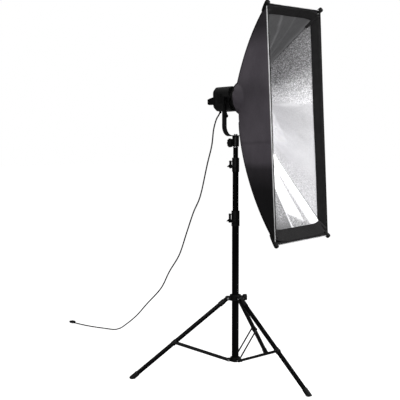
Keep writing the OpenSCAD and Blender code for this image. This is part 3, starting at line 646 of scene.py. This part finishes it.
def wall_pull(q, s):
    """How far a wall draws in between its rods."""
    return 0.006 * 4 * s * (1 - s) * math.sin(math.pi * min(1, q))


def make_outer():
    for name, (c1, c2) in WALLS.items():
        long_wall = name in ("near", "far")
        cols = 64 if long_wall else 32

        def depth(q, s, name=name):
            middle = 4 * s * (1 - s)
            ripple = 0.0016 * noise.noise(Vector((s * 9, q * 3.2, len(name)))) * middle
            pucker = 0.0012 * math.sin(s * 46 + 3 * noise.noise(Vector((s * 4, q * 5, 2)))) * math.exp(-q * 9)
            return wall_pull(q, s) + ripple + pucker

        grid = wall_grid(c1, c2, 72, cols, depth, 0, 1)
        panel = sheet_from(f"outer_{name}", grid, OUTER_THICK, "shell_fabric", "softbox", [f"{name}_panel"])


# ---------------------------------------------------------------- lining, bands, hems and pockets
def rod_room(s):
    return LAYER_GAP + CLOTH_T + 0.017 * abs(2 * s - 1) ** 6


def crease(name, q, s, edge):
    """Radial folds of the loose inner layer, deepest mid-run and flat where the band begins."""
    seed = {"top": 3.1, "far": 7.7, "bottom": 12.9, "near": 21.3}[name]
    folds = abs(noise.noise(Vector((s * 5.5, q * 0.9, seed))))
    fine = abs(noise.noise(Vector((s * 13, q * 2.1 + s * 3, seed + 5))))
    fade = min(1, q * 4) * min(1, max(0, edge - q) * 8)
    return (0.010 * folds + 0.004 * fine) * fade * (4 * s * (1 - s)) ** 0.5


def make_lining():
    for name, (c1, c2) in WALLS.items():
        long_wall = name in ("near", "far")
        cols, rows = (96, 84) if long_wall else (56, 84)
        edge = 1 - (LIP_SHORT if long_wall else LIP_LONG) / DEPTH + 0.01

        def depth(q, s, name=name, edge=edge):
            return rod_room(s) + wall_pull(q, s) + crease(name, q, s, edge)

        grid = wall_grid(c1, c2, rows, cols, depth, LINING_START, edge, bow=LINING_BOW)
        lining = sheet_from(f"lining_{name}", grid, LINING_THICK, f"silver_{name}", "softbox",
                            ["silver_lining"], flip=True)


def make_lip():
    """The black hook-and-loop band just inside the open edge, a little slack between its stitches."""
    for name, (c1, c2) in WALLS.items():
        long_wall = name in ("near", "far")
        start = 1 - (LIP_SHORT if long_wall else LIP_LONG) / DEPTH
        cols = 96 if long_wall else 48

        def depth(q, s, name=name):
            slack = 0.0008 * noise.noise(Vector((s * 22, q * 3, len(name) + 9)))
            return rod_room(s) + 0.0024 + wall_pull(q, s) + slack

        grid = wall_grid(c1, c2, 10, cols, depth, start, 1.0, power=1.0, bow=LINING_BOW)
        band = sheet_from(f"lip_{name}", grid, LIP_THICK, "lip", "softbox", ["lip_bands"],
                          flip=True)


def seam_line(corner, q0, q1, steps, d, power=1.0):
    return [BOX @ skin(q0 + (q1 - q0) * (k / steps) ** power, corner, corner, 0, d) for k in range(steps + 1)]


def make_seams():
    """Bound seams over the rods outside, and the sleeve ends of the rods inside the open corners."""
    for corner in range(4):
        line = seam_line(corner, 0.02, 0.995, 60, -0.0004, 1.5)
        verts, faces = tube(line, BINDING_R, 8)
        piece(f"seam_binding_{corner + 1}", verts, faces, "lip", "softbox")
        sleeve = seam_line(corner, 0.80, 0.985, 16, 0.024)
        verts, faces = tube(sleeve, [0.0115 - 0.001 * (k / 16) for k in range(17)], 14)
        piece(f"rod_sleeve_{corner + 1}", verts, faces, "lip", "softbox")


def edge_line(c1, c2, d, back, steps=48):
    pts = []
    for k in range(steps + 1):
        p = skin(1.0, c1, c2, k / steps, d)
        p.y += back
        pts.append(BOX @ p)
    return pts


def make_piping():
    for name, (c1, c2) in WALLS.items():
        verts, faces = tube(edge_line(c1, c2, -0.0016, 0.003), PIPING_R, 10)
        piece(f"piping_{name}", verts, faces, "piping", "softbox")
        verts, faces = tube(edge_line(c1, c2, 0.0025, -0.0005), HEM_R, 10)
        piece(f"hem_{name}", verts, faces, "lip", "softbox")


def make_rear_hem():
    """The elastic hem that closes the cloth round the speedring."""
    ring = []
    for c1, c2 in WALLS.values():
        ring += [BOX @ skin(0.0, c1, c2, k / 24, 0.001) for k in range(24)]
    ring.append(ring[0])
    verts, faces = tube(ring, REAR_HEM_R, 10)
    piece("rear_hem", verts, faces, "lip", "softbox")


def make_pockets():
    """Reinforced pocket over each rod end: a sewn patch along the seam with a stiff tip past the corner."""
    for corner in range(4):
        line = [skin(q, corner, corner, 0, -0.002) for q in (0.87, 0.90, 0.93, 0.96, 0.985, 1.0)]
        out = (line[-1] - line[-2]).normalized()
        line += [line[-1] + out * 0.006, line[-1] + out * 0.011, line[-1] + out * 0.014]
        line = [BOX @ p for p in line]
        radii = [0.004, 0.0070, 0.0090, 0.0105, 0.0118, 0.0124, 0.0122, 0.0106, 0.0060]
        verts, faces = tube(line, radii, 14)
        obj = piece(f"corner_pocket_{corner + 1}", verts, faces, "pocket", "softbox",
                    replaces=["corner_pockets"])
        obj.modifiers.new("round", "SUBSURF").render_levels = 1


make_materials()
make_camera()
make_stage()
make_cord()
dress_nodes()
make_outer()
make_lining()
make_lip()
make_seams()
make_piping()
make_rear_hem()
make_pockets()
